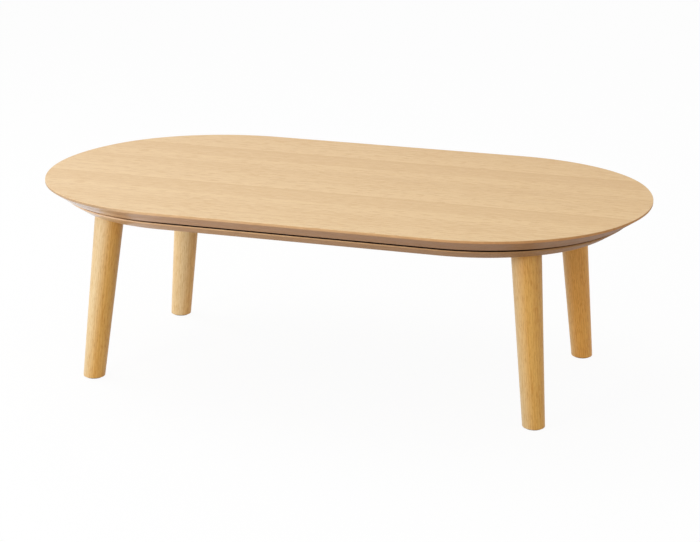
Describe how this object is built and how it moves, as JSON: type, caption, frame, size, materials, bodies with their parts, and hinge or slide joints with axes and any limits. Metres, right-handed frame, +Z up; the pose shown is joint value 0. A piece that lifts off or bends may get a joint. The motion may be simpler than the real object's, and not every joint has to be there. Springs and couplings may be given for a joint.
{
  "type": "kotatsu table",
  "caption": "Low oval heated table: a lift-off veneered top on a ring frame with round splayed legs and a quartz heater underneath.",
  "frame": {"origin": "on the floor, under the middle of the tabletop", "axes": "+X along the table's length, +Y across it towards the back, +Z up"},
  "size_m": [1.2, 0.725, 0.378],
  "materials": {
    "oak_veneer": "satin lacquered oak veneer, grain along X",
    "oak_lipping": "satin lacquered lipping",
    "top_substrate": "stained and lacquered board, taupe brown on the bevel",
    "backing_sheet": "matt balancing laminate",
    "frame_wood": "stained and lacquered frame board",
    "rail_wood": "planed hardwood",
    "leg_wood": "clear lacquered hardwood, grain along the leg",
    "dowel_wood": "plain beech dowel",
    "zinc_steel": "bright zinc plate",
    "pad_rubber": "soft black rubber",
    "felt": "pressed felt",
    "heater_enamel": "heat-resistant satin black paint",
    "guard_flock": "dark brown flocked wire",
    "reflector_metal": "bright rolled aluminium",
    "fibre_mat": "white mineral fibre",
    "quartz": "clear quartz",
    "element_wire": "oxidised resistance wire",
    "ceramic_cap": "unglazed white ceramic",
    "dark_plastic": "fine grained dark moulding",
    "knob_plastic": "ivory moulding",
    "terminal_brass": "bright brass",
    "lead_sleeve": "woven glass-fibre sleeve"
  },
  "bodies": {
    "frame": {"top_rest_pads": "pad_rubber", "frame_side_front": "frame_wood", "frame_side_back": "frame_wood", "frame_end_left": "frame_wood", "frame_end_right": "frame_wood", "frame_dowels": "dowel_wood", "apron_front": "rail_wood", "apron_back": "rail_wood", "stretcher_front": "rail_wood", "stretcher_back": "rail_wood", "cross_rail_left": "rail_wood", "cross_rail_right": "rail_wood", "rail_dowels": "dowel_wood", "apron_screws": "zinc_steel", "leg_front_left": "leg_wood", "leg_front_right": "leg_wood", "leg_back_left": "leg_wood", "leg_back_right": "leg_wood", "leg_bolts": "zinc_steel", "leg_bolt_washers": "zinc_steel", "leg_inserts": "zinc_steel", "leg_pins": "dowel_wood", "foot_glides": "felt", "heater_cover": "heater_enamel", "heater_bezel": "heater_enamel", "bezel_screws": "zinc_steel", "heater_ears": "zinc_steel", "heater_screws": "zinc_steel", "heater_reflector": "reflector_metal", "heater_insulation": "fibre_mat", "quartz_tubes": "quartz", "heating_coils": "element_wire", "tube_end_caps": "ceramic_cap", "tube_bracket_left": "zinc_steel", "tube_bracket_right": "zinc_steel", "tube_link_strip": "zinc_steel", "guard_rim": "guard_flock", "guard_wires": "guard_flock", "guard_cross_bars": "guard_flock", "guard_clips": "zinc_steel", "guard_screws": "zinc_steel", "temperature_switch": "dark_plastic", "inlet_housing": "dark_plastic", "inlet_pins": "terminal_brass", "terminal_block": "ceramic_cap", "terminal_screws": "terminal_brass", "thermostat": "dark_plastic", "thermal_fuse": "ceramic_cap", "lead_wires": "lead_sleeve"},
    "tabletop": {"top_face_veneer": "oak_veneer", "top_edge_lipping": "oak_lipping", "top_board": "top_substrate", "top_bevel_ring": "top_substrate", "top_backing_sheet": "backing_sheet"},
    "temperature_slide": {"temperature_knob": "knob_plastic", "slide_carriage": "dark_plastic"}
  },
  "joints": [
    {"name": "top_lift", "type": "slide", "parent": "frame", "child": "tabletop", "axis": [0, 0, 1], "range_m": [0, 0.15]},
    {"name": "temperature_slide", "type": "slide", "parent": "frame", "child": "temperature_slide", "axis": [0, 1, 0], "range_m": [0, 0.024]}
  ]
}
